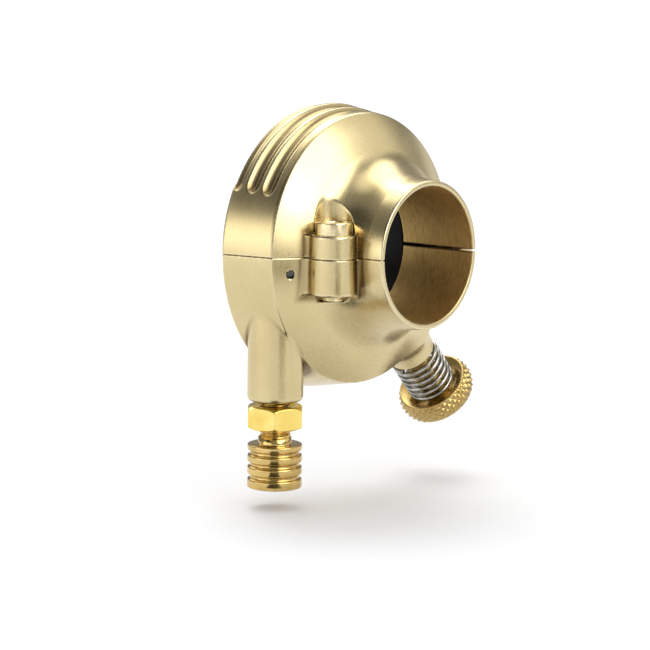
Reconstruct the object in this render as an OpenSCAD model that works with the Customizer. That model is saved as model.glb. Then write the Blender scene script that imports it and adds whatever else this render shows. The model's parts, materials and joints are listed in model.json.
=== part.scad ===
/* [Collar] */
// Radius of the handlebar bore
bar_r = 12.7; // [12.5:0.05:12.8]
// Wall of the collar at its mouth
collar_wall = 1.05; // [0.9:0.05:1.3]
// Length of the handlebar bore
collar_len = 17.1; // [16.9:0.1:17.2]
// Gap between the halves on the right side of the collar
clamp_gap = 0.4; // [0.3:0.1:1]

/* [Drum housing] */
// Outer radius at the crease between dome and rim
crease_r = 25.5; // [25:0.1:26]
// Outer radius at the back edge
back_r = 27.3; // [26.8:0.1:28]
// Distance from the collar's mouth to the crease
crease_y = 16.2; // [16:0.1:16.5]
// Distance from the collar's mouth to the back face
back_y = 26.8; // [26.6:0.1:27.2]
// Radius of the cavity that the cable drum turns in
cavity_r = 22.3; // [22:0.1:22.6]

/* [Rim grooves] */
// Number of grooves over the top of the rim
groove_count = 3; // [1:1:3]
// Distance between grooves
groove_pitch = 3.35; // [2.8:0.05:3.4]
// Width of a groove
groove_w = 2.4; // [1.6:0.1:2.4]
// Depth of a groove
groove_depth = 0.8; // [0.3:0.1:1]
// Height angle at which the grooves end
groove_end = 28; // [15:1:45]

/* [Clamp lugs] */
// Distance of a clamp screw from the bore's axis
lug_x = 16.9; // [16.8:0.1:17.2]
// Distance of a clamp screw from the collar's mouth
lug_y = 8.7; // [8.4:0.1:9]
// Radius of a lug
lug_r = 4.15; // [4.1:0.05:4.3]
// Radius of the screw's thread
clamp_r = 2; // [1.5:0.1:2]

/* [Cable entry] */
// Distance of the cable from the bore's axis
tube_x = 18.65; // [18.4:0.05:18.8]
// Distance of the cable from the collar's mouth
tube_y = 21; // [20.9:0.1:21.1]
// Outer radius of the cable tube
tube_r = 5.2; // [4.8:0.1:5.4]
// Depth of the cable tube's end below the bore's axis
tube_end = 27.3; // [26.5:0.1:28]
// Radius of the adjuster's thread
adjuster_r = 3; // [2.8:0.1:3.2]
// Width of the lock nut across its flats
nut_af = 10; // [9:0.5:11]

/* [Friction screw] */
// Angle of the screw away from straight down
screw_angle = 43; // [40:1:46]
// Radius of the screw's thread
screw_r = 2.5; // [2:0.1:2.6]
// Radius of the knurled knob
knob_r = 7.8; // [7.2:0.1:8]
// Turns of the spring
spring_turns = 6.5; // [5:0.5:7]

/* [Cable drum] */
// Radius of the drum's bore, which turns on the handlebar
drum_bore_r = 12.95; // [12.9:0.01:13.1]
// Outer radius of the drum
drum_r = 20.6; // [20.4:0.1:20.8]
// Angle through which the drum turns
drum_travel = 80; // [60:1:85]

/* [Hidden] */
$fn = 96;
eps = 0.01;
reach = 60;                  // longer than the whole part
run_gap = 0.06;              // radial play of a screw or shaft in its hole

// outline of the housing, as [radius, distance from the mouth]
mouth_edge = 0.4;
collar_r = bar_r + collar_wall;
neck_start = [collar_r + 0.35, 3.5];
neck_pull = [15.2, 10.2];
neck_end = [18.8, 12.2];
dome_pull = [22.4, 13.9];
back_edge = 0.6;

cavity_end = 24.7;           // back wall of the cavity
hub_r = 15.9;

groove_inset = 1;            // from the back face to the first groove's middle

lug_top = 4.3;
lug_bottom = -6.7;
lug_back_y = 15;
web_x = 20;
relief_r = 3.7;              // cutter that clears the screw's head
clear_gap = 0.2;             // play of a clamp screw in the upper lug
spot_depth = 1.5;            // flat cut under each lug
head_gap = 0.1;
head_r = 3.5;
head_seat = 2.7;
head_h = 3.9;
key_af = 3;                  // hexagon socket across its flats
key_depth = 2;
screw_tip = 1;               // how far a clamp screw stands out below its lug

dowel_x = 24.3;
dowel_y = 20;
dowel_r = 1;
dowel_len = 8;
dowel_gap = 0.2;

pin_drop = 7.8;              // angle of the stop pin below the left side
pin_spot = [22.5, 14.2];     // where the pin meets the dome: radius, distance
pin_tilt = 38;
pin_r = 0.75;
pin_len = 4.2;
pin_sunk = 0.8;
pin_hole = 7;

tube_top = -8;
thread_top = -16;
wire_r = 1.2;
nut_turn = -18;              // one corner faces forward
nut_top = -28.1;
nut_h = 4.4;
stem_top = -18.3;
neck_h = 1.4;                // plain neck between thread and barrel
neck_top = -34;
neck_r = 3.1;
barrel_r = 5.1;
barrel_end = -43.5;
barrel_grooves = [-36.9, -39.1, -41.4];
barrel_groove = 0.5;
seat_r = 2.6;                // seat for the cable's outer casing
seat_len = 5;

boss_end = 31;
boss_root = 20;
boss_r = [5.7, 4.8];
knob_face = 39.9;
knob_h = 4.3;
knob_recess = 0.6;
recess_r = 6.1;
shoe_root = 22.2;
shoe_len = 3;
spring_wire_r = 0.45;
spring_r = 4.95;

drum_front = 17.4;
drum_back = 24.4;
groove_floor_r = tube_x - 1;
groove_half = 1;
notch_r = 18.2;
notch_depth = 1.9;
notch_spare = 4;             // angle left free at each end of the travel
nipple_angle = 25;
nipple_r = 2.5;
spigot_r = 14.3;
spigot_start = 27.2;
spigot_end = 35.2;

function bezier(a, b, c, n) =
    [for (i = [0:n]) let (t = i / n) (1 - t) * (1 - t) * a + 2 * t * (1 - t) * b + t * t * c];
function rim_r(y) = crease_r + (back_r - crease_r) * (y - crease_y) / (back_y - back_edge - crease_y);

// turns +Z into +Y, so that a revolved form lies along the handlebar
module along_bar() rotate([-90, 0, 0]) children();

// +Z runs out along the friction screw, from the handlebar's axis
module along_screw() translate([0, tube_y, 0]) rotate([0, 180 - screw_angle, 0]) children();

// +Z runs out along the stop pin, from where it meets the dome
module along_pin()
    rotate([0, 180 - pin_drop, 0]) translate([pin_spot[0], pin_spot[1], 0])
        rotate([90, 0, pin_tilt]) children();

module at_tube(z) translate([-tube_x, tube_y, z]) children();

module at_lug(side, z) translate([side * lug_x, lug_y, z]) children();

// solid outer form: collar, neck, dome and rim
module outer_form()
    along_bar() rotate_extrude()
        polygon(concat(
            [[0, 0], [collar_r - mouth_edge, 0], [collar_r, mouth_edge]],
            bezier(neck_start, neck_pull, neck_end, 3),
            bezier(neck_end, dome_pull, [crease_r, crease_y], 2),
            [[back_r, back_y - back_edge], [back_r - back_edge, back_y], [0, back_y]]));

module lug(side) {
    at_lug(side, lug_bottom) cylinder(r = lug_r, h = lug_top - lug_bottom);
    // web between the round lug and the dome
    translate([side > 0 ? 0 : -web_x, lug_y, lug_bottom])
        cube([web_x, lug_back_y - lug_y, lug_top - lug_bottom]);
}

module cable_tube() {
    chamfer = 0.5;
    at_tube(-tube_end) cylinder(r1 = tube_r - chamfer, r2 = tube_r, h = chamfer + eps);
    at_tube(-tube_end + chamfer) cylinder(r = tube_r, h = tube_end + tube_top - chamfer);
}

module screw_boss()
    along_screw() translate([0, 0, boss_root])
        cylinder(r1 = boss_r[0], r2 = boss_r[1], h = boss_end - boss_root);

// everything both halves have cut away: bore, drum chamber and back opening
module inside() {
    along_bar() translate([0, 0, -1]) cylinder(r = bar_r, h = back_y);
    along_bar() translate([0, 0, collar_len]) cylinder(r = cavity_r, h = cavity_end - collar_len);
    along_bar() translate([0, 0, collar_len]) cylinder(r = hub_r + run_gap, h = reach);
    translate([0, -1, -clamp_gap / 2]) cube([reach, collar_len + 1, clamp_gap]);
    for (side = [-1, 1])
        translate([side * dowel_x, dowel_y, -dowel_len / 2]) cylinder(r = dowel_r, h = dowel_len);
}

module rim_grooves()
    for (i = [0:groove_count - 1]) {
        y = back_y - groove_inset - i * groove_pitch;
        along_bar() translate([0, 0, y - groove_w / 2])
            rotate([0, 0, 180 + groove_end]) rotate_extrude(angle = 180 - 2 * groove_end)
                translate([rim_r(y) - groove_depth, 0]) square([reach, groove_w]);
    }

module upper_half() {
    color([0.80, 0.72, 0.50]) difference() {
        intersection() {
            union() {
                outer_form();
                for (side = [-1, 1]) lug(side);
            }
            translate([-reach, -reach, 0]) cube([2 * reach, 2 * reach, reach]);
        }
        inside();
        rim_grooves();
        for (side = [-1, 1]) {
            at_lug(side, -1) cylinder(r = clamp_r + clear_gap, h = reach);
            at_lug(side, head_seat) cylinder(r = head_r + head_gap, h = reach);
            at_lug(side, lug_top) cylinder(r = relief_r, h = reach);
        }
    }
}

module lower_half() {
    color([0.78, 0.70, 0.48]) difference() {
        intersection() {
            union() {
                outer_form();
                for (side = [-1, 1]) lug(side);
                cable_tube();
                screw_boss();
            }
            translate([-reach, -reach, -reach]) cube([2 * reach, 2 * reach, reach]);
        }
        inside();
        for (side = [-1, 1]) {
            at_lug(side, -reach) cylinder(r = clamp_r + run_gap, h = reach + 1);
            at_lug(side, lug_bottom - spot_depth) cylinder(r = head_r + head_gap, h = spot_depth);
        }
        at_tube(-reach) cylinder(r = adjuster_r, h = reach + thread_top);
        at_tube(thread_top - 1) cylinder(r = wire_r, h = 1 - thread_top);
        along_screw() translate([0, 0, boss_root]) cylinder(r = screw_r, h = reach);
        along_pin() translate([0, 0, -pin_hole]) cylinder(r = pin_r, h = pin_hole + 2, $fn = 48);
    }
}

module clamp_screw(side)
    color([0.80, 0.69, 0.42]) at_lug(side, head_seat) {
        edge = 0.4;
        difference() {
            union() {
                cylinder(r = head_r, h = head_h - edge);
                translate([0, 0, head_h - edge - eps])
                    cylinder(r1 = head_r, r2 = head_r - edge, h = edge + eps);
            }
            translate([0, 0, head_h - key_depth])
                cylinder(d = key_af / cos(30), h = key_depth + 1, $fn = 6);
        }
        translate([0, 0, lug_bottom - head_seat - screw_tip])
            cylinder(r = clamp_r, h = head_seat - lug_bottom + screw_tip + eps);
    }

module clamp_screw_left() clamp_screw(-1);

module clamp_screw_right() clamp_screw(1);

module dowel_pin(side)
    color([0.7, 0.7, 0.72]) translate([side * dowel_x, dowel_y, -dowel_len / 2 + dowel_gap])
        cylinder(r = dowel_r, h = dowel_len - 2 * dowel_gap);

module dowel_pin_left() dowel_pin(-1);

module dowel_pin_right() dowel_pin(1);

module stop_pin()
    color([0.8, 0.8, 0.8]) along_pin() translate([0, 0, -pin_sunk - pin_len])
        cylinder(r = pin_r, h = pin_len, $fn = 48);

// pulley for the cable, with a hub that carries the twist grip behind the housing
module cable_drum() {
    color([0.06, 0.06, 0.06]) difference() {
        along_bar() rotate_extrude()
            polygon([
                [drum_bore_r, drum_front], [drum_r, drum_front],
                [drum_r, tube_y - groove_half], [groove_floor_r, tube_y - groove_half],
                [groove_floor_r, tube_y + groove_half], [drum_r, tube_y + groove_half],
                [drum_r, drum_back], [hub_r, drum_back], [hub_r, spigot_start],
                [spigot_r, spigot_start], [spigot_r, spigot_end], [drum_bore_r, spigot_end]]);
        stop_notch();
        nipple_pocket();
    }
}

// the stop pin runs in this notch and ends the drum's travel
module stop_notch()
    along_bar() translate([0, 0, drum_front - eps])
        rotate([0, 0, 180 - pin_drop - notch_spare - drum_travel])
            rotate_extrude(angle = drum_travel + 2 * notch_spare)
                translate([notch_r, 0]) square([drum_r, notch_depth]);

// pocket that takes the nipple at the cable's end
module nipple_pocket()
    along_bar() rotate([0, 0, 180 + nipple_angle])
        translate([tube_x, 0, tube_y - groove_half - 1]) cylinder(r = nipple_r, h = reach);

module cable_adjuster() {
    color([0.85, 0.68, 0.30]) difference() {
        union() {
            at_tube(neck_top - eps) cylinder(r = adjuster_r - run_gap, h = stem_top - neck_top + eps);
            at_tube(neck_top - neck_h) cylinder(r = neck_r, h = neck_h);
            barrel();
        }
        at_tube(-reach) cylinder(r = wire_r, h = reach);
        at_tube(barrel_end - 1) cylinder(r = seat_r, h = seat_len + 1);
    }
}

module barrel() {
    chamfer = 0.6;
    top = neck_top - neck_h;
    difference() {
        union() {
            at_tube(barrel_end) cylinder(r1 = barrel_r - chamfer, r2 = barrel_r, h = chamfer + eps);
            at_tube(barrel_end + chamfer) cylinder(r = barrel_r, h = top - barrel_end - chamfer);
        }
        for (z = barrel_grooves)
            at_tube(z) rotate_extrude() translate([barrel_r, 0]) circle(r = barrel_groove, $fn = 24);
    }
}

module lock_nut() {
    color([0.92, 0.76, 0.30]) difference() {
        intersection() {
            at_tube(nut_top - nut_h) rotate([0, 0, nut_turn]) cylinder(d = nut_af / cos(30), h = nut_h, $fn = 6);
            at_tube(nut_top - nut_h) nut_corners();
        }
        at_tube(nut_top - nut_h - 1) cylinder(r = adjuster_r, h = nut_h + 2);
    }
}

// round form that takes the sharp corners off the nut
module nut_corners() {
    across = nut_af / cos(30) / 2;
    cut = across - nut_af / 2;
    cylinder(r1 = across - cut, r2 = across, h = cut / 2 + eps);
    translate([0, 0, cut / 2]) cylinder(r = across, h = nut_h - cut);
    translate([0, 0, nut_h - cut / 2 - eps]) cylinder(r1 = across, r2 = across - cut, h = cut / 2 + eps);
}

// one turned piece: threaded shank and knob
module friction_screw() {
    crown = 0.6;
    shank_root = shoe_root + shoe_len;
    color([0.62, 0.45, 0.20]) along_screw() {
        translate([0, 0, shank_root])
            cylinder(r = screw_r - run_gap, h = knob_face + knob_h / 2 - shank_root);
        translate([0, 0, knob_face]) rotate_extrude()
            polygon([[0, knob_recess + eps], [0, knob_h], [knob_r - 2 * crown, knob_h],
                     [knob_r - crown / 2, knob_h - crown], [knob_r, knob_h / 2],
                     [knob_r - crown / 2, crown], [knob_r - 2 * crown, 0],
                     [recess_r, 0], [recess_r - crown / 2, knob_recess]]);
    }
}

function coil_centre(a, r, pitch) = [r * cos(a), r * sin(a), pitch * a / 360];

// round wire wound from the boss to the knob
module friction_spring() {
    sides = 8;
    steps = 20;
    coil_r = spring_r - spring_wire_r;
    gap = 0.02;
    rise = knob_face + knob_recess - boss_end - 2 * (spring_wire_r + gap);
    pitch = rise / spring_turns;
    rings = steps * spring_turns;
    points = [for (i = [0:rings], j = [0:sides - 1])
        let (a = 360 * i / steps, b = 360 * j / sides,
             c = coil_centre(a, coil_r, pitch), out = [cos(a), sin(a), 0])
        c + spring_wire_r * (cos(b) * out + sin(b) * [0, 0, 1])];
    skin = [for (i = [0:rings - 1], j = [0:sides - 1])
        let (k = i * sides, n = (j + 1) % sides)
        [k + j, k + n, k + sides + n, k + sides + j]];
    ends = [[for (j = [sides - 1:-1:0]) j], [for (j = [0:sides - 1]) rings * sides + j]];
    color([0.75, 0.75, 0.76]) along_screw() translate([0, 0, boss_end + spring_wire_r + gap])
        polyhedron(points, concat(skin, ends));
}

// pad that the screw presses on the drum's rim
module friction_shoe()
    color([0.72, 0.55, 0.28]) along_screw() translate([0, 0, shoe_root])
        cylinder(r = screw_r - run_gap, h = shoe_len);

upper_half();
lower_half();
clamp_screw_left();
clamp_screw_right();
dowel_pin_left();
dowel_pin_right();
stop_pin();
cable_drum();
cable_adjuster();
lock_nut();
friction_screw();
friction_spring();
friction_shoe();
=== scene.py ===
import math

import bpy
import numpy as np
from mathutils import Matrix, Vector
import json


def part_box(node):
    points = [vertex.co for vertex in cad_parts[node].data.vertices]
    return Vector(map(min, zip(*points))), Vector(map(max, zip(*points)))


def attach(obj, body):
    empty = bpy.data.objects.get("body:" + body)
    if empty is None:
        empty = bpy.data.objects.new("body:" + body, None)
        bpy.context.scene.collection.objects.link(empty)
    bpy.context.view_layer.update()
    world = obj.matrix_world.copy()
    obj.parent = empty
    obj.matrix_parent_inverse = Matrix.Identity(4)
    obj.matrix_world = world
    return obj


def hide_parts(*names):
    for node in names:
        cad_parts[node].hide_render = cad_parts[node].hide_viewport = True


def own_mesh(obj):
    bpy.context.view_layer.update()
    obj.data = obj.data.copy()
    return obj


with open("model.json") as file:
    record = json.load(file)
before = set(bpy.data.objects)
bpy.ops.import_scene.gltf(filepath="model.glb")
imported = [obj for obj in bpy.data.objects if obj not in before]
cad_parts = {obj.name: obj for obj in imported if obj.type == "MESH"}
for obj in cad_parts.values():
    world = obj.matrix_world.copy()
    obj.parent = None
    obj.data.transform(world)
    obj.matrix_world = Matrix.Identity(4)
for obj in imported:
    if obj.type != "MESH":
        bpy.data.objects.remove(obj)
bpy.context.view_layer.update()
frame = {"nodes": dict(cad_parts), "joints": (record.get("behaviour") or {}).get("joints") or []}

MM = 0.001
HALF_STEP = 0.26       # grid of the housing's shape, in mm
FINE_STEP = 0.13        # grid of the nut's shape


def box_mm(node):
    """Lowest and highest corner of a CAD node, in mm."""
    low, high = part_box(node)
    return np.array(low) / MM, np.array(high) / MM


# ---- places, read from the frame -------------------------------------------------------------
upper_low, upper_high = box_mm("upper_half")
lower_low, lower_high = box_mm("lower_half")
adjuster_low, adjuster_high = box_mm("cable_adjuster")
nut_low, nut_high = box_mm("lock_nut")
clamp_low, clamp_high = box_mm("clamp_screw_right")
drum_low, drum_high = box_mm("cable_drum")
joints = {j["name"]: j for j in frame["joints"]}

bar_r = 12.7
back_y = float(upper_high[1])
back_r = float(upper_high[0])
tube_x, tube_y = (float(v) for v in (adjuster_low[:2] + adjuster_high[:2]) / 2)
tube_end = float(lower_low[2])
lug_x, lug_y = (float(v) for v in (clamp_low[:2] + clamp_high[:2]) / 2)
screw_out = -np.array(joints["screw_turn"]["axis"], float)      # from the bar's axis out to the knob
adjuster_reach = joints["adjuster_travel"]["range_m"][1] / MM

# ---- the housing's own measures, in mm -------------------------------------------------------
collar_r = bar_r + 1.05
crease = (25.5, 16.2)                                   # radius, distance from the mouth
back_edge = 0.6
cavity_r, cavity_front, cavity_back = 22.3, 17.1, 24.7
hub_r = 15.96
clamp_gap = 0.4
lug_r, lug_top, lug_bottom = 4.15, 4.3, -6.7
lug_back, web_x = 15.0, 20.0
relief_r = 3.75
head_r, head_play, head_seat, head_top = 3.5, 0.12, 2.7, float(clamp_high[2])
groove_ys = [back_y - 1.0 - 3.35 * i for i in range(3)]
groove_half, groove_depth, groove_end = 1.28, 0.85, math.radians(30)
groove_r = (groove_half ** 2 + groove_depth ** 2) / (2 * groove_depth)
groove_stretch = 1.8                                    # how far a groove's ends are drawn out; a ball's is 1
clearance_r, tapped_r = 2.2, 2.06                       # the clamp screws' holes, upper and lower half
spot_r, spot_depth = 3.6, 1.5                           # spot face under each lug
tube_r, tube_top = 5.2, -6.0
stem_hole_r, stem_hole_top = 3.0, -16.0
cable_hole_r, cable_hole_top = 1.2, -10.0
boss_start, boss_end = 18.0, 31.0
boss_slope = (5.7, 4.6)                                 # the boss's radius at its start and end
screw_hole_r = 2.5
pin_drop, pin_tilt, pin_spot = math.radians(7.8), math.radians(38), (22.5, 14.2)
pin_hole_r, pin_hole_depth = 0.75, 6.0

# ---- measures of the small parts, in mm ------------------------------------------------------
nut_af, nut_hole_r, nut_turn = 10.0, 3.05, math.radians(-18)
nut_slope = math.radians(30)
thread_pitch, stem_r = 1.0, 2.94
neck_top, shoulder = -34.0, -35.4                       # the adjuster's neck, above its barrel
knob_face, knob_dish, knob_thick, knob_r = 39.9, 0.6, 4.3, 7.8
knurl_inner = 6.95
shank_start, shank_r = 25.2, 2.44
wire_r, coil_r, turns = 0.45, 4.5, 6.5
drum_bore, drum_floor = 12.95, 17.65
spigot_r, spigot_y = 15.9, 24.4
nose_r, nose_y = 14.3, 27.2
nipple_r, nipple_angle = 2.5, math.radians(25)
notch_r, notch_y = 18.2, 19.3
notch_middle, notch_half = math.radians(40), math.radians(44)


# ---- signed distances ------------------------------------------------------------------------
def soft_min(a, b, k):
    """Union whose inner corner is filled with a radius of about k."""
    h = np.maximum(k - np.abs(a - b), 0) / k
    return np.minimum(a, b) - h * h * k / 4


def soft_max(a, b, k):
    """Intersection whose edge is rounded with a radius of about k."""
    return -soft_min(-a, -b, k)


def cut(a, b, k):
    """a with b taken away, its edge rounded."""
    return soft_max(a, -b, k)


def off_clamp(x, y, side):
    """Distance from the axis of a clamp screw."""
    return np.hypot(x - side * lug_x, y - lug_y)


def off_tube(x, y):
    """Distance from the axis of the cable's tube."""
    return np.hypot(x - tube_x, y - tube_y)


def slab(v, low, high):
    return np.abs(v - (low + high) / 2) - (high - low) / 2


def rod(off, z, r, low, high, k):
    """Cylinder along z with rounded ends, from the distance off its axis."""
    return soft_max(off - r, slab(z, low, high), k)


def block(x, y, z, low, high, k):
    """Box with rounded edges."""
    sides = [slab(v, a, b) for v, a, b in zip((x, y, z), low, high)]
    return soft_max(soft_max(sides[0], sides[1], k), sides[2], k)


def bezier(a, b, c, n):
    t = np.linspace(0, 1, n + 1)[:, None]
    return (1 - t) ** 2 * np.array(a) + 2 * t * (1 - t) * np.array(b) + t * t * np.array(c)


def polygon_distance(px, py, corners):
    """Signed distance to a closed polygon, negative inside."""
    best = np.full(px.shape, 1e9)
    inside = np.zeros(px.shape, bool)
    for (ax, ay), (bx, by) in zip(corners, np.roll(corners, -1, axis=0)):
        ex, ey = bx - ax, by - ay
        wx, wy = px - ax, py - ay
        t = np.clip((wx * ex + wy * ey) / max(ex * ex + ey * ey, 1e-12), 0, 1)
        best = np.minimum(best, (wx - t * ex) ** 2 + (wy - t * ey) ** 2)
        crosses = (ay > py) != (by > py)
        inside ^= crosses & (px < ex * (py - ay) / (ey if ey else 1e-12) + ax)
    return np.where(inside, -1, 1) * np.sqrt(best)


class Turned:
    """Distance to a form turned about the bar's axis, looked up in a fine table of radius and distance."""
    step = 0.08

    def __init__(self, corners):
        self.low = np.array([-3.0, corners[:, 1].min() - 3])
        high = np.array([corners[:, 0].max() + 8, corners[:, 1].max() + 3])
        rs, ys = (np.arange(a, b, self.step) for a, b in zip(self.low, high))
        self.table = polygon_distance(*np.meshgrid(rs, ys, indexing="ij"), corners).astype(np.float32)

    def __call__(self, r, y):
        u = np.clip((r - self.low[0]) / self.step, 0, self.table.shape[0] - 1.001)
        v = np.clip((y - self.low[1]) / self.step, 0, self.table.shape[1] - 1.001)
        i, j = u.astype(np.int32), v.astype(np.int32)
        u, v = u - i, v - j
        t = self.table
        return ((t[i, j] * (1 - u) + t[i + 1, j] * u) * (1 - v)
                + (t[i, j + 1] * (1 - u) + t[i + 1, j + 1] * u) * v)


def housing_outline():
    """Collar with a rounded mouth, hollow neck, dome, soft crease, rim and rounded back edge."""
    lip = 0.36
    turn = np.linspace(0, math.pi / 2, 7)[:, None]
    mouth = np.hstack([collar_r - lip + lip * np.sin(turn), lip - lip * np.cos(turn)])
    neck = bezier((collar_r + 0.35, 3.5), (15.2, 10.2), (18.8, 12.2), 24)
    dome = bezier((18.8, 12.2), (22.4, 13.9), (25.3, 15.98), 20)
    soft = bezier((25.3, 15.98), crease, (25.56, 16.55), 8)
    rim_end = np.array([back_r, back_y - back_edge])
    back = bezier(rim_end, (back_r + 0.05, back_y), (back_r - back_edge, back_y), 8)
    # the outline is closed beyond the axis: the bore is cut by hollow()
    return np.vstack([[[-2, 0]], mouth, neck, dome[1:], soft[1:], back, [[-2, back_y]]])


outer_form = Turned(housing_outline())


def rim_r(y):
    t = (y - crease[1]) / (back_y - back_edge - crease[1])
    return crease[0] + (back_r - crease[0]) * t


def lug(x, y, z, side):
    """Round post for a clamp screw, with the web that joins it to the dome."""
    post = rod(off_clamp(x, y, side), z, lug_r, lug_bottom, lug_top, 0.5)
    low, high = (-web_x, -10) if side < 0 else (10, web_x)
    web = block(x, y, z, (low, lug_y, lug_bottom), (high, lug_back, lug_top), 0.5)
    return soft_min(post, web, 0.4)


def bare_housing(x, y, z, fillet):
    """Turned form with both lugs, and room cut above each lug for the screw's head."""
    form = outer_form(np.hypot(x, z), y)
    for side in (-1, 1):
        form = cut(form, soft_max(off_clamp(x, y, side) - relief_r, lug_top - z, 0.2), 0.18)
        form = soft_min(form, lug(x, y, z, side), fillet)
    return form


def hollow(form, x, y, z):
    """Takes away what both halves have open: bore, drum chamber, back opening and clamp gap."""
    r = np.hypot(x, z)
    form = cut(form, r - bar_r, 0.35)
    form = cut(form, soft_max(r - cavity_r, slab(y, cavity_front, cavity_back), 0.4), 0.3)
    form = cut(form, soft_max(r - hub_r, cavity_front - y, 0.3), 0.3)
    gap = soft_max(slab(z, -clamp_gap / 2, clamp_gap / 2), soft_max(-x, y - cavity_front, 0.2), 0.2)
    return cut(form, gap, 0.3)


def grooves(x, y, z):
    """Three scooped grooves over the top of the rim, each running out gently at both ends."""
    r = np.hypot(x, z)
    angle = np.arctan2(z, np.abs(x))
    past = np.maximum(groove_end - angle, 0) * r / groove_stretch
    return np.minimum.reduce([
        np.sqrt((r - (rim_r(gy) + groove_r - groove_depth)) ** 2 + (y - gy) ** 2 + past ** 2) - groove_r
        for gy in groove_ys])


def upper_shape(x, y, z):
    form = hollow(bare_housing(x, y, z, 0.35), x, y, z)
    form = cut(form, grooves(x, y, z), 0.25)
    for side in (-1, 1):
        off = off_clamp(x, y, side)
        form = cut(form, off - clearance_r, 0.2)
        form = cut(form, soft_max(off - head_r - head_play, head_seat - z, 0.1), 0.16)
    return soft_max(form, -z, 0.22)


def boss(x, y, z):
    """Tapered boss for the friction screw, and how far each point lies along and off its axis."""
    along = x * screw_out[0] + z * screw_out[2]
    off = np.sqrt(np.maximum(x * x + z * z - along * along, 0) + (y - tube_y) ** 2)
    t = (along - boss_start) / (boss_end - boss_start)
    r = boss_slope[0] + (boss_slope[1] - boss_slope[0]) * t
    return soft_max(off - r, slab(along, boss_start, boss_end), 0.5), along, off


def lower_shape(x, y, z):
    form = bare_housing(x, y, z, 1.1)
    tube = rod(off_tube(x, y), z, tube_r, tube_end, tube_top, 1.0)
    form = soft_min(form, tube, 0.35)
    bump, along, off = boss(x, y, z)
    form = soft_min(form, bump, 4.0)
    form = soft_max(form, y - back_y, 0.5)
    form = hollow(form, x, y, z)
    form = cut(form, soft_max(off - screw_hole_r, boss_start - along, 0.2), 0.3)
    form = cut(form, soft_max(off_tube(x, y) - stem_hole_r, z - stem_hole_top, 0.3), 0.5)
    form = cut(form, soft_max(off_tube(x, y) - cable_hole_r, z - cable_hole_top, 0.3), 0.3)
    for side in (-1, 1):
        off = off_clamp(x, y, side)
        form = cut(form, off - tapped_r, 0.2)
        form = cut(form, rod(off, z, spot_r, lug_bottom - spot_depth, lug_bottom, 0.3), 0.3)
    form = cut(form, pin_hole(x, y, z), 0.12)
    return soft_max(form, z, 0.22)


def pin_frame():
    """Where the stop pin meets the dome, and the direction out of it."""
    across = np.array([-math.cos(pin_drop), 0, -math.sin(pin_drop)])
    spot = across * pin_spot[0] + np.array([0, pin_spot[1], 0])
    out = across * math.sin(pin_tilt) + np.array([0, -math.cos(pin_tilt), 0])
    return spot, out


def pin_hole(x, y, z):
    spot, out = pin_frame()
    dx, dy, dz = x - spot[0], y - spot[1], z - spot[2]
    along = dx * out[0] + dy * out[1] + dz * out[2]
    off = np.sqrt(np.maximum(dx * dx + dy * dy + dz * dz - along * along, 0))
    return soft_max(off - pin_hole_r, -along - pin_hole_depth, 0.08)


def nut_shape(x, y, z):
    """Hexagon nut, chamfered round its corners at both ends, with a countersunk hole."""
    x, y = x - tube_x, y - tube_y
    half = (nut_high[2] - nut_low[2]) / 2
    past = np.abs(z - (nut_high[2] + nut_low[2]) / 2) - half
    form = slab(z, nut_low[2], nut_high[2])
    for k in range(3):
        a = nut_turn + math.radians(60 * k + 30)
        form = soft_max(form, np.abs(x * math.cos(a) + y * math.sin(a)) - nut_af / 2, 0.3)
    r = np.hypot(x, y)
    cone = (r - (nut_af / 2 - 0.3)) * math.sin(nut_slope) + past * math.cos(nut_slope)
    form = soft_max(form, cone, 0.12)
    return cut(form, r - nut_hole_r - np.maximum(past + 0.5, 0), 0.12)


# ---- meshes ----------------------------------------------------------------------------------
def gradient(shape, p, h=0.04):
    """Direction in which the distance grows, from its values a little to each side."""
    g = np.empty_like(p)
    for axis in range(3):
        step = np.zeros(3)
        step[axis] = h
        g[:, axis] = (shape(*(p + step).T) - shape(*(p - step).T)) / (2 * h)
    return g


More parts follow.
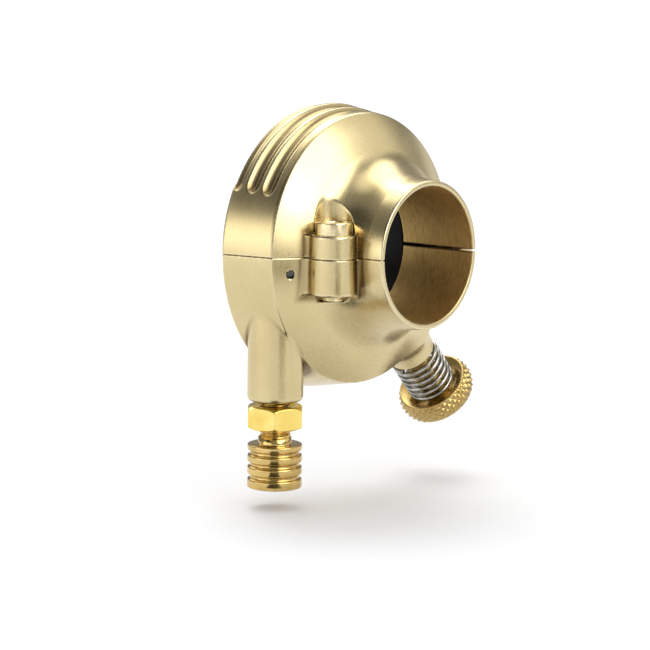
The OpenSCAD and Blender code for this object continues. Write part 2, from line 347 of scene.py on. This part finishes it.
def surface(shape, low, high, step):
    """Even quads over the zero level of a distance, moved onto it, with its own normals."""
    axes = [np.arange(a - 2.5 * step, b + 2.5 * step, step) for a, b in zip(low, high)]
    values = shape(*(g.astype(np.float32) for g in np.meshgrid(*axes, indexing="ij"))).astype(np.float32)
    inside = values < 0
    corners = [(i, j, k) for i in (0, 1) for j in (0, 1) for k in (0, 1)]
    size = np.array(values.shape) - 1
    count = np.zeros(size, np.int8)
    for i, j, k in corners:
        count += inside[i:i + size[0], j:j + size[1], k:k + size[2]]
    cells = np.argwhere((count > 0) & (count < 8))
    number = np.full(size, -1, np.int64)
    number[tuple(cells.T)] = np.arange(len(cells))

    total, hits = np.zeros((len(cells), 3)), np.zeros(len(cells))
    for a in corners:
        for axis in range(3):
            if a[axis]:
                continue
            b = list(a)
            b[axis] = 1
            fa = values[tuple((cells + a).T)]
            fb = values[tuple((cells + b).T)]
            crosses = (fa < 0) != (fb < 0)
            t = np.where(crosses, fa / np.where(crosses, fa - fb, 1), 0)
            at = np.array(a, float)[None] + t[:, None] * (np.array(b) - a)[None]
            total += np.where(crosses[:, None], at, 0)
            hits += crosses
    points = np.array([ax[0] for ax in axes]) + (cells + total / hits[:, None]) * step

    faces = []
    for axis in range(3):
        u, v = (axis + 1) % 3, (axis + 2) % 3
        first = [slice(1, s) for s in size]
        first[axis] = slice(0, size[axis])
        second = list(first)
        second[axis] = slice(1, size[axis] + 1)
        change = inside[tuple(first)].astype(np.int8) - inside[tuple(second)].astype(np.int8)
        for sign in (1, -1):
            at = np.argwhere(change == sign)
            at[:, [u, v]] += 1
            quad = []
            for du, dv in ((-1, -1), (0, -1), (0, 0), (-1, 0)):
                c = at.copy()
                c[:, u] += du
                c[:, v] += dv
                quad.append(number[tuple(c.T)])
            faces.append(np.stack(quad if sign > 0 else quad[::-1], axis=1))
    faces = np.vstack(faces)

    for _ in range(4):
        g = gradient(shape, points)
        move = shape(*points.T)[:, None] * g / np.maximum((g * g).sum(1), 0.05)[:, None]
        points = points - np.clip(move, -step / 2, step / 2)
    g = gradient(shape, points)
    normals = g / np.maximum(np.linalg.norm(g, axis=1), 1e-6)[:, None]
    return points, faces, normals


def place(name, data):
    """Puts an object into the scene."""
    thing = bpy.data.objects.new(name, data)
    bpy.context.scene.collection.objects.link(thing)
    return thing


def new_piece(name, points, faces, normals=None, caps=()):
    """A smooth mesh from points in mm, its quads and, for a wire, the faces over its ends."""
    mesh = bpy.data.meshes.new(name)
    mesh.from_pydata((np.asarray(points) * MM).tolist(), [], np.asarray(faces).tolist() + list(caps))
    mesh.validate()
    mesh.shade_smooth()
    if normals is not None:
        mesh.normals_split_custom_set_from_vertices(normals.tolist())
    return place(name, mesh)


def bend(shape, points, h=0.22):
    """How sharply the surface turns, in 1/mm: positive on raised edges, negative in hollows."""
    total = -6 * shape(*points.T)
    for axis in range(3):
        step = np.zeros(3)
        step[axis] = h
        total += shape(*(points + step).T) + shape(*(points - step).T)
    return total / (h * h)


def shelter(shape, points, normals):
    """How closely walls stand round each point: 0 on an open face, towards 1 deep in a corner."""
    total = np.zeros(len(points))
    for reach in (0.7, 1.5, 3.0):
        total += np.clip(1 - shape(*(points + normals * reach).T) / reach, 0, 1) / 3
    return total


def mark(piece, name, values):
    """Stores a number at each point for the material to read."""
    attribute = piece.data.attributes.new(name, "FLOAT", "POINT")
    attribute.data.foreach_set("value", np.asarray(values, np.float32))


def shaped(name, shape, low, high, step):
    """A piece from a distance, with the marks that its material reads."""
    points, faces, normals = surface(shape, np.array(low, float), np.array(high, float), step)
    piece = new_piece(name, points, faces, normals)
    mark(piece, "bend", bend(shape, points))
    mark(piece, "sheltered", shelter(shape, points, normals))
    mark(piece, "bored", np.clip((bar_r + 0.12 - np.hypot(points[:, 0], points[:, 2])) / 0.1, 0, 1))
    return piece


def rings_to_faces(rows, columns):
    """Quads between closed rings of points."""
    i, j = np.meshgrid(np.arange(rows - 1), np.arange(columns), indexing="ij")
    a = i * columns + j
    b = i * columns + (j + 1) % columns
    return np.stack([a, b, b + columns, a + columns], axis=-1).reshape(-1, 4)


def turned(profile, columns, bump=None):
    """Points and quads of a closed outline of (radius, height) turned about z. bump moves points outwards."""
    profile = np.asarray(profile, float)
    angle = np.linspace(0, 2 * math.pi, columns, endpoint=False)
    r = np.repeat(profile[:, :1], columns, axis=1)
    h = np.repeat(profile[:, 1:], columns, axis=1)
    if bump is not None:
        r = r + bump(angle[None, :], r, h)
    points = np.stack([r * np.cos(angle), r * np.sin(angle), h], axis=-1).reshape(-1, 3)
    return points, rings_to_faces(len(profile), columns)


def turned_loop(profile, columns, bump):
    """As turned, for an outline that comes back to its start, such as a tube's wall."""
    points, faces = turned(profile, columns, bump)
    j = np.arange(columns)
    last = (len(profile) - 1) * columns
    seam = np.stack([last + j, last + (j + 1) % columns, (j + 1) % columns, j], axis=-1)
    return points, np.vstack([faces, seam])


def along_screw(points):
    """Turns points made about z so that z runs out along the friction screw's axis."""
    d = screw_out / np.linalg.norm(screw_out)
    side = np.cross([0, 1, 0], d)
    side = side / np.linalg.norm(side)
    other = np.cross(d, side)
    return np.array([0, tube_y, 0]) + points[:, :1] * side + points[:, 1:2] * other + points[:, 2:] * d


def dense(corners, step):
    """An outline with points added along its straight stretches."""
    out = [np.array(corners[0], float)]
    for a, b in zip(corners[:-1], corners[1:]):
        a, b = np.array(a, float), np.array(b, float)
        n = max(1, int(np.ceil(np.linalg.norm(b - a) / step)))
        out += [a + (b - a) * i / n for i in range(1, n + 1)]
    return np.array(out)


def eased(corners, radius, n=4):
    """An open outline with its inner corners rounded."""
    corners = [np.array(c, float) for c in corners]
    out = [corners[0]]
    for a, b, c in zip(corners[:-2], corners[1:-1], corners[2:]):
        back, on = a - b, c - b
        k = min(radius, np.linalg.norm(back) * 0.45, np.linalg.norm(on) * 0.45)
        out += list(bezier(b + back / np.linalg.norm(back) * k, b, b + on / np.linalg.norm(on) * k, n))
    return np.array(out + [corners[-1]])


def thread(low, high, pitch, depth):
    """Bump that sinks a V thread between two heights, fading at its ends."""
    def bump(angle, r, h):
        phase = (h / pitch - angle / (2 * math.pi)) % 1
        wave = np.abs(phase - 0.5) * 2
        fade = np.clip((h - low) / (pitch * 0.6), 0, 1) * np.clip((high - h) / (pitch * 0.6), 0, 1)
        return -depth * np.clip(wave * 1.25 - 0.12, 0, 1) * fade * (h > low) * (h < high)
    return bump


def knurl(count, pitch, height, low, high):
    """Bump of crossed ridges, a diamond pattern, between two heights."""
    def bump(angle, r, h):
        a = angle * count / (2 * math.pi)
        first = np.abs((a + h / pitch) % 1 - 0.5) * 2
        second = np.abs((a - h / pitch) % 1 - 0.5) * 2
        edge = np.clip((h - low) / 0.5, 0, 1) * np.clip((high - h) / 0.5, 0, 1)
        return height * (np.minimum(first, second) - 0.45) * edge * (r > knurl_inner)
    return bump


# ---- materials -------------------------------------------------------------------------------
class Tree:
    """Short way to build nodes."""

    def __init__(self, tree):
        self.tree = tree

    def add(self, kind, **values):
        node = self.tree.nodes.new(kind)
        for key, value in values.items():
            setattr(node, key, value)
        return node

    def link(self, out, socket):
        self.tree.links.new(out, socket)

    def math(self, operation, a, b):
        node = self.add("ShaderNodeMath", operation=operation)
        for socket, value in zip(node.inputs, (a, b)):
            if isinstance(value, (int, float)):
                socket.default_value = value
            else:
                self.link(value, socket)
        return node.outputs[0]

    def grey(self, value, low, high, start=0.0, end=1.0, **values):
        """Brings the range start to end to the range low to high."""
        node = self.add("ShaderNodeMapRange", **values)
        for key, number in (("From Min", start), ("From Max", end), ("To Min", low), ("To Max", high)):
            node.inputs[key].default_value = number
        self.link(value, node.inputs[0])
        return node.outputs[0]


class Nodes(Tree):
    """The nodes of a new material."""

    def __init__(self, name, **settings):
        self.material = bpy.data.materials.new(name)
        self.material.use_nodes = True
        super().__init__(self.material.node_tree)
        self.shader = self.tree.nodes["Principled BSDF"]
        for key, value in settings.items():
            self.shader.inputs[key.replace("_", " ")].default_value = value
        self.coords = self.add("ShaderNodeTexCoord").outputs["Object"]

    def noise(self, scale, stretch=(1, 1, 1), detail=3, rough=0.5):
        """Blotches, scale of them to a metre, more along a stretched axis."""
        mapping = self.add("ShaderNodeMapping")
        mapping.inputs["Scale"].default_value = [scale * s for s in stretch]
        self.link(self.coords, mapping.inputs["Vector"])
        node = self.add("ShaderNodeTexNoise")
        node.inputs["Scale"].default_value = 1
        node.inputs["Detail"].default_value = detail
        node.inputs["Roughness"].default_value = rough
        self.link(mapping.outputs[0], node.inputs["Vector"])
        return node.outputs["Fac"]

    def ramp(self, value, stops):
        node = self.add("ShaderNodeValToRGB")
        elements = node.color_ramp.elements
        while len(elements) < len(stops):
            elements.new(0.5)
        for element, (at, colour) in zip(elements, stops):
            element.position = at
            element.color = (*colour, 1)
        self.link(value, node.inputs[0])
        return node.outputs[0]

    def mix(self, factor, a, b):
        """From a to b, each a colour or a socket."""
        node = self.add("ShaderNodeMix", data_type="RGBA")
        for socket, value in zip((node.inputs[0], node.inputs[6], node.inputs[7]), (factor, a, b)):
            if isinstance(value, tuple):
                socket.default_value = (*value, 1)
            else:
                self.link(value, socket)
        return node.outputs[2]

    def marked(self, name, low, high, start, end):
        """A number that the mesh carries at its points, brought to the range low to high."""
        node = self.add("ShaderNodeAttribute", attribute_name=name)
        return self.grey(node.outputs["Fac"], low, high, start, end)

    def edges(self, low, high, start, end):
        """From low in hollows to high along raised edges."""
        geometry = self.add("ShaderNodeNewGeometry")
        return self.grey(geometry.outputs["Pointiness"], low, high, start, end)

    def bump(self, height, distance, strength, after=None):
        node = self.add("ShaderNodeBump")
        node.inputs["Strength"].default_value = strength
        node.inputs["Distance"].default_value = distance
        self.link(height, node.inputs["Height"])
        if after is not None:
            self.link(after, node.inputs["Normal"])
        return node.outputs[0]

    def finish(self, colour=None, roughness=None, normal=None):
        for value, key in ((colour, "Base Color"), (roughness, "Roughness"), (normal, "Normal")):
            if value is not None:
                self.link(value, self.shader.inputs[key])
        return self.material


def housing_brass():
    """Satin brass: blasted grain, turning lines about the bore, painted shade in hollows and corners, painted
    highlight along raised edges.
    """
    n = Nodes("satin_brass", Metallic=1.0)
    cloud = n.noise(90, detail=4)
    grain = n.noise(5200, detail=2)
    lines = n.noise(420, stretch=(1.2, 26, 1.2), detail=3, rough=0.6)
    tone = n.ramp(cloud, [(0.3, (0.60, 0.485, 0.25)), (0.7, (0.68, 0.565, 0.31))])
    tone = n.mix(n.grey(lines, 0.0, 0.07, 0.35, 0.65), tone, (0.80, 0.70, 0.46))
    # painted shade: the colour darkens in hollows, where the surface bends inwards
    tone = n.mix(n.marked("bend", 0.9, 0.0, -1.7, -0.15), tone, (0.16, 0.10, 0.035))
    # painted highlight: the colour lightens along raised edges
    tone = n.mix(n.marked("bend", 0.0, 0.45, 0.5, 2.4), tone, (0.88, 0.78, 0.54))
    # painted shade: the colour darkens where walls stand close round a point, in corners, gaps and under the
    # lugs
    corner_shade = n.marked("sheltered", 0.0, 0.92, 0.08, 0.42)
    tone = n.mix(corner_shade, tone, (0.17, 0.11, 0.04))
    brushed = n.ramp(lines, [(0.3, (0.42, 0.25, 0.075)), (0.7, (0.94, 0.68, 0.27))])
    bored = n.marked("bored", 0.0, 1.0, 0.0, 1.0)
    tone = n.mix(bored, tone, brushed)
    rough = n.grey(cloud, 0.23, 0.31, 0.3, 0.7)
    rough = n.math("ADD", rough, n.grey(lines, -0.03, 0.03, 0.3, 0.7))
    rough = n.math("ADD", rough, n.math("MULTIPLY", bored, 0.22))
    normal = n.bump(grain, 0.00001, 0.5)
    normal = n.bump(lines, 0.000008, 0.4, after=normal)
    return n.finish(tone, rough, normal)


def turned_brass(name, dark, light, rough_low, rough_high, tarnish=0.0, carved=False):
    """Lathe-turned brass: rings about z, painted shade in its hollows and tarnish spots."""
    n = Nodes(name, Metallic=1.0)
    cloud = n.noise(260, detail=4)
    rings = n.noise(900, stretch=(0.4, 0.4, 12), detail=2)
    spots = n.noise(1100, detail=5, rough=0.65)
    tone = n.ramp(cloud, [(0.3, dark), (0.7, light)])
    # painted shade: the colour darkens in hollows, read from the bend mark or the mesh's pointiness
    hollow = n.marked("bend", 0.6, 0.0, -2.2, -0.3) if carved else n.edges(0.55, 0.0, 0.40, 0.49)
    tone = n.mix(hollow, tone, tuple(c * 0.32 for c in dark))
    if tarnish:
        tone = n.mix(n.grey(spots, 0.0, tarnish, 0.66, 0.74), tone, (0.16, 0.10, 0.04))
    rough = n.grey(cloud, rough_low, rough_high, 0.3, 0.7)
    rough = n.math("ADD", rough, n.grey(rings, -0.03, 0.03, 0.3, 0.7))
    normal = n.bump(rings, 0.000008, 0.6)
    return n.finish(tone, rough, normal)


def steel(name, low, high):
    """Drawn or ground steel, its tone a little uneven, with fine marks."""
    n = Nodes(name, Metallic=1.0)
    cloud = n.noise(500, detail=4)
    tone = n.ramp(cloud, [(0.35, low), (0.65, high)])
    marks = n.noise(2600, detail=2)
    return n.finish(tone, n.grey(cloud, 0.10, 0.2, 0.3, 0.7), n.bump(marks, 0.000006, 0.5))


def nylon():
    """Black moulded nylon: fine matt texture, paler where rubbed."""
    n = Nodes("black_nylon", Metallic=0.0)
    cloud = n.noise(160, detail=4)
    grain = n.noise(3600, detail=3)
    tone = n.ramp(cloud, [(0.3, (0.0025, 0.002, 0.002)), (0.7, (0.006, 0.0055, 0.005))])
    tone = n.mix(n.marked("bend", 0.0, 0.6, 0.6, 3.0), tone, (0.03, 0.03, 0.028))
    n.shader.inputs["Specular IOR Level"].default_value = 0.2
    return n.finish(tone, n.grey(cloud, 0.42, 0.6, 0.3, 0.7), n.bump(grain, 0.00002, 0.6))


def floor_paint():
    n = Nodes("pale_floor")
    cloud = n.noise(8, detail=2)
    tone = n.ramp(cloud, [(0.3, (0.955, 0.96, 0.965)), (0.7, (0.965, 0.97, 0.975))])
    n.shader.inputs["Specular IOR Level"].default_value = 0
    return n.finish(tone, n.grey(cloud, 0.7, 0.8))


satin = housing_brass()
bright = turned_brass("turned_brass", (0.54, 0.36, 0.12), (0.74, 0.54, 0.21), 0.09, 0.16, tarnish=0.7)
yellow = turned_brass("nut_brass", (0.86, 0.62, 0.14), (0.96, 0.77, 0.26), 0.14, 0.22,
                      tarnish=0.8, carved=True)
brown = turned_brass("knob_brass", (0.42, 0.28, 0.09), (0.58, 0.42, 0.17), 0.20, 0.30)
pale = turned_brass("screw_brass", (0.72, 0.58, 0.31), (0.85, 0.73, 0.46), 0.16, 0.26)
wire = steel("spring_steel", (0.24, 0.22, 0.19), (0.50, 0.49, 0.46))
black = nylon()
# painted shade: the stop pin's steel is made dark to stand for the shade down the hole it sits in
dark_pin_steel = steel("dark_steel", (0.03, 0.028, 0.025), (0.14, 0.135, 0.12))


def settle(piece, body, material, node):
    """Gives a piece its finish, its body and the CAD node that it stands for."""
    piece.data.materials.append(material)
    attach(piece, body)
    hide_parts(node)


# ---- pieces ----------------------------------------------------------------------------------
def make_halves():
    top = shaped("upper_housing", upper_shape, upper_low, upper_high, HALF_STEP)
    settle(top, "housing", satin, "upper_half")
    bottom = shaped("lower_housing", lower_shape, lower_low, lower_high, HALF_STEP)
    settle(bottom, "housing", satin, "lower_half")


def make_clamp_screw(name, side, node):
    """Cap-head screw with a hexagon socket and a real thread."""
    head_h = head_top - head_seat
    socket, socket_depth = 1.55, 2.0
    cap_r, shank, tip = head_r - 0.1, 2.0, 1.7
    end = lug_bottom - head_seat - 1.0
    cap = eased([(0.001, head_h - socket_depth), (socket, head_h - socket_depth), (socket, head_h),
                 (cap_r, head_h), (cap_r, 0), (shank, 0)], 0.32, 5)
    threaded = dense([(shank, 0), (shank, lug_bottom - head_seat - 0.7)], 0.09)
    cutter = thread(end, -1.5, 0.7, 0.35)

    def bump(angle, r, h):
        hexagon = socket / np.cos((angle + math.pi / 6) % (math.pi / 3) - math.pi / 6) - socket
        near = np.clip((socket + 0.35 - r) / 0.35, 0, 1) * np.clip(r / socket, 0, 1)
        return hexagon * near * (h > head_h - socket_depth - 0.1) + cutter(angle, r, h) * (h < -0.05)

    points, faces = turned(np.vstack([cap[:-1], threaded, [(tip, end), (0.001, end)]]), 72, bump)
    points = points + np.array([side * lug_x, lug_y, head_seat])
    settle(new_piece(name, points, faces[:, ::-1]), "housing", pale, node)


def make_adjuster():
    """Threaded stem, plain neck and barrel with three grooves, bored for the cable's casing."""
    low, high = float(adjuster_low[2]), float(adjuster_high[2])
    r = float(adjuster_high[0] - adjuster_low[0]) / 2
    casing_r, casing_depth = 2.6, 5.0
    walls = []
    for z in (-36.9, -39.1, -41.4):
        walls += [(r, z + 0.5), (r - 0.5, z + 0.26), (r - 0.5, z - 0.26), (r, z - 0.5)]
    barrel = [(3.1, neck_top - 0.05), (3.1, shoulder), (r, shoulder), *walls, (r, low),
              (casing_r, low), (casing_r, low + casing_depth), (cable_hole_r, low + casing_depth)]
    outer = eased([(cable_hole_r, high), (2.55, high), (stem_r, high - 0.4), (stem_r, neck_top)], 0.05, 1)
    outline = np.vstack([outer[:-2], dense(outer[-2:], 0.1), eased(barrel, 0.24, 5)])
    points, faces = turned_loop(outline, 96, thread(neck_top, high - 0.2, thread_pitch, 0.5))
    points = points + np.array([tube_x, tube_y, 0])
    settle(new_piece("cable_adjuster_turned", points, faces[:, ::-1]),
           "adjuster", bright, "cable_adjuster")


def make_nut():
    nut = shaped("lock_nut_hexagon", nut_shape, nut_low, nut_high, FINE_STEP)
    settle(nut, "nut", yellow, "lock_nut")


def make_friction_screw():
    """Threaded shank and crowned, knurled knob with a dished inner face."""
    shank = dense([(shank_r, shank_start + 0.3), (shank_r, knob_face + 1)], 0.1)
    shank = np.vstack([[[0.001, shank_start]], [[2.1, shank_start]], shank])
    points, faces = turned(shank, 48, thread(shank_start, knob_face - 0.5, 0.8, 0.38))
    edge = knob_r - 0.75
    outline = np.vstack([
        eased([(0.001, 0.9), (5.1, 0.8), (6.7, 0.0), (knob_r - 0.8, 0.0)], 0.5, 5),
        bezier((edge, 0.1), (knob_r + 0.45, knob_thick / 2), (edge, knob_thick - 0.1), 44),
        eased([(knob_r - 0.85, knob_thick), (1.6, knob_thick), (0.001, knob_thick)], 0.2, 3)])
    knob, knob_faces = turned(outline, 40 * 8, knurl(32, 1.5, 0.42, 0.0, knob_thick))
    knob[:, 2] += knob_face
    points, faces = np.vstack([points, knob]), np.vstack([faces, knob_faces + len(points)])
    settle(new_piece("friction_screw_knurled", along_screw(points), faces),
           "screw", brown, "friction_screw")


def make_spring():
    """Round wire wound from the boss to the knob, its last turns closed up."""
    start, end = boss_end + wire_r, knob_face + knob_dish - wire_r
    t = np.linspace(0, 1, int(turns * 40) + 1)
    closed = 0.6 / turns
    rise = np.interp(t, [0, closed, 1 - closed, 1], [0, 0.035, 0.965, 1])
    angle = t * turns * 2 * math.pi
    ring = np.linspace(0, 2 * math.pi, 14, endpoint=False)
    out = np.stack([np.cos(angle), np.sin(angle), np.zeros_like(angle)], axis=-1)
    up = np.array([0, 0, 1])
    centre = out * coil_r + up * (start + (end - start) * rise)[:, None]
    points = centre[:, None] + wire_r * (np.cos(ring)[None, :, None] * out[:, None]
                                         + np.sin(ring)[None, :, None] * up)
    points = points.reshape(-1, 3)
    first = list(range(len(ring)))
    last = [len(points) - len(ring) + j for j in first]
    piece = new_piece("friction_spring_wire", along_screw(points),
                      rings_to_faces(len(t), len(ring))[:, ::-1], caps=(first, last[::-1]))
    settle(piece, "housing", wire, "friction_spring")
    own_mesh(piece)


def drum_outline():
    """The pulley's section: bore, rim with the cable's groove, spigot and nose."""
    low, high, r = float(drum_low[1]), float(drum_high[1]), float(drum_high[0])
    groove = [(r, tube_y - 1), (drum_floor + 0.5, tube_y - 1), (drum_floor, tube_y - 0.5),
              (drum_floor, tube_y + 0.5), (drum_floor + 0.5, tube_y + 1), (r, tube_y + 1)]
    return np.array([(drum_bore, low), (r, low), *groove, (r, spigot_y), (spigot_r, spigot_y),
                     (spigot_r, nose_y), (nose_r, nose_y), (nose_r, high), (drum_bore, high)])


drum_form = Turned(drum_outline())


def drum_shape(x, y, z):
    """Pulley with a cable groove, a pocket for the nipple and a notch for the stop pin."""
    r = np.hypot(x, z)
    form = drum_form(r, y)
    px, pz = tube_x * math.cos(nipple_angle), -tube_x * math.sin(nipple_angle)
    pocket = soft_max(np.hypot(x - px, z - pz) - nipple_r, tube_y - 2 - y, 0.2)
    form = cut(form, soft_max(pocket, y - 24.5, 0.2), 0.25)
    turn = np.arctan2(-z, -x)
    swing = np.abs((turn - (pin_drop + notch_middle) + math.pi) % (2 * math.pi) - math.pi)
    notch = soft_max(notch_r - r, (swing - notch_half) * r, 0.3)
    return cut(form, soft_max(notch, y - notch_y, 0.2), 0.25)


def make_drum():
    drum = shaped("cable_drum_moulded", drum_shape, drum_low, drum_high, HALF_STEP)
    settle(drum, "drum", black, "cable_drum")


def finish_small_parts():
    """Dowels, stop pin and shoe keep their CAD shape."""
    for node, material in (("dowel_pin_left", wire), ("dowel_pin_right", wire), ("stop_pin", dark_pin_steel),
                           ("friction_shoe", bright)):
        mesh = frame["nodes"][node].data
        mesh.materials.clear()
        mesh.materials.append(material)


# ---- stage, lights and camera ----------------------------------------------------------------
floor_z = float(adjuster_low[2]) - adjuster_reach - 0.05    # clear of the adjuster when it is right out
BACKDROP = (0.975, 0.98, 1.0)
BACKDROP_LIGHT, BACKDROP_SEEN = 0.9, 0.25                   # its light, and what the camera sees beyond that


def make_card(name, corners, material):
    """A flat sheet of the stage, from four corners in mm."""
    mesh = bpy.data.meshes.new(name)
    mesh.from_pydata([tuple(c * MM) for c in corners], [], [(0, 1, 2, 3)])
    mesh.materials.append(material)
    card = place(name, mesh)
    return card


def make_floor():
    reach = 6000.0
    corners = ((-reach, -reach), (reach, -reach), (reach, reach), (-reach, reach))
    make_card("floor", [Vector((x, y, floor_z)) for x, y in corners], floor_paint())


# soft boxes on the studio's walls: azimuth, elevation, inner and outer angle in degrees, level
WALL_LEVEL = 0.30
SOFT_BOXES = [
    (2, 38, 20, 29, 3.2),          # key, front right, lights the dome
    (-14, 14, 9, 18, 2.6),         # its lower left end
    (52, 32, 14, 28, 0.8),         # its softer right-hand neighbour
    (116, 55, 11, 27, 2.6),        # right and high, lights the top of the neck
    (100, 2, 6, 16, 0.6),          # right, low
    (-98, 42, 8, 26, -0.27),       # a dark corner that shades the neck
    (-116, 2, 10, 22, 1.9),        # behind left, lights the rim
    (165, 47, 13, 25, 2.4),        # behind, lights the fins
    (-86, -2, 10, 24, 1.3),        # left
    (66, 84, 6, 20, 1.0),          # overhead
]


def direction(azimuth, elevation):
    """Unit vector out from the object, by degrees round from the front and up."""
    a, e = math.radians(azimuth), math.radians(elevation)
    return Vector((math.sin(a) * math.cos(e), -math.cos(a) * math.cos(e), math.sin(e)))


def make_flag(name, corners, tone):
    """A card that only mirrors see."""
    n = Nodes(name)
    weave = n.ramp(n.noise(20), [(0.3, tuple(c * 0.8 for c in tone)), (0.7, tone)])
    flag = make_card(name, corners, n.finish(weave))
    for kind in ("camera", "diffuse", "transmission", "volume_scatter", "shadow"):
        setattr(flag, "visible_" + kind, False)


def make_flags():
    """A black card lying level with the adjuster's end, a painted shade that the metal mirrors in place of
    the shadowed floor, and a grey one upright in front of the object.
    """
    out = direction(-48, 0)
    side = Vector((out.y, -out.x, 0))
    foot = Vector((tube_x, tube_y, float(adjuster_low[2]) + 0.1))
    corners = ((7, -3), (7, 3), (42, 11), (42, -11))
    # painted shade: the black card stands for the shadowed floor in front of the adjuster, seen only in
    # mirrors
    make_flag("flag_foot", [foot + out * away + side * w for away, w in corners], (0.03, 0.028, 0.02))
    out = direction(-30, 0)
    side = Vector((out.y, -out.x, 0))
    corners = ((-36, floor_z), (36, floor_z), (36, -4), (-36, -4))
    make_flag("flag_front", [out * 150 + side * w + Vector((0, 0, z)) for w, z in corners],
              (0.30, 0.28, 0.22))


def make_back_light():
    """A soft light from behind and above, which metal doesn't mirror, for the shadows on the floor."""
    sun = bpy.data.lights.new("back_light", "SUN")
    sun.energy = 0.9
    sun.angle = math.radians(35)
    light = place("back_light", sun)
    light.rotation_mode = "QUATERNION"
    light.rotation_quaternion = direction(140, 66).to_track_quat("Z", "Y")
    light.visible_glossy = False


def make_world():
    """A white studio: plain to the camera, with soft boxes and darker walls for the metal to mirror."""
    world = bpy.data.worlds.new("studio")
    bpy.context.scene.world = world
    world.use_nodes = True
    world.node_tree.nodes.clear()
    n = Tree(world.node_tree)
    coords = n.add("ShaderNodeTexCoord").outputs["Generated"]
    total = WALL_LEVEL
    for azimuth, elevation, inner, outer, level in SOFT_BOXES:
        toward = n.add("ShaderNodeVectorMath", operation="DOT_PRODUCT")
        toward.inputs[1].default_value = direction(azimuth, elevation)
        n.link(coords, toward.inputs[0])
        full, gone = math.cos(math.radians(inner)), math.cos(math.radians(outer))
        box = n.grey(toward.outputs["Value"], 0, level, gone, full, interpolation_type="SMOOTHSTEP")
        total = n.math("ADD", box, total)
    mirrored = n.add("ShaderNodeBackground")
    mirrored.inputs["Color"].default_value = (1.0, 0.99, 0.96, 1)
    n.link(n.math("MAXIMUM", total, 0.02), mirrored.inputs["Strength"])
    plain = n.add("ShaderNodeBackground")
    plain.inputs["Color"].default_value = (*BACKDROP, 1)
    path = n.add("ShaderNodeLightPath")
    seen = n.math("MULTIPLY", path.outputs["Is Camera Ray"], BACKDROP_SEEN)
    n.link(n.math("ADD", seen, BACKDROP_LIGHT), plain.inputs["Strength"])
    mix = n.add("ShaderNodeMixShader")
    n.link(path.outputs["Is Glossy Ray"], mix.inputs[0])
    n.link(plain.outputs[0], mix.inputs[1])
    n.link(mirrored.outputs[0], mix.inputs[2])
    out = n.add("ShaderNodeOutputWorld")
    n.link(mix.outputs[0], out.inputs[0])


def make_camera():
    azimuth, elevation, roll = -48.35, 8.03, math.radians(0.79)
    distance, focal, shift_right, shift_up = 400.0, 120.93, -19.26, -12.73
    back = direction(azimuth, elevation)
    right = Vector((math.cos(math.radians(azimuth)), math.sin(math.radians(azimuth)), 0))
    up = back.cross(right)
    level = math.cos(roll) * right + math.sin(roll) * up
    upright = -math.sin(roll) * right + math.cos(roll) * up
    data = bpy.data.cameras.new("camera")
    data.lens = focal
    data.sensor_width = 36
    camera = place("camera", data)
    camera.location = (level * shift_right + upright * shift_up + back * distance) * MM
    camera.rotation_mode = "QUATERNION"
    camera.rotation_quaternion = Matrix((level, upright, back)).transposed().to_quaternion()
    data.clip_start, data.clip_end = 0.01, 20
    bpy.context.scene.camera = camera


make_halves()
make_clamp_screw("clamp_screw_near", -1, "clamp_screw_left")
make_clamp_screw("clamp_screw_far", 1, "clamp_screw_right")
make_adjuster()
make_nut()
make_friction_screw()
make_spring()
make_drum()
finish_small_parts()
make_floor()
make_world()
make_back_light()
make_flags()
make_camera()
bpy.context.scene.view_settings.view_transform = "Standard"

import json
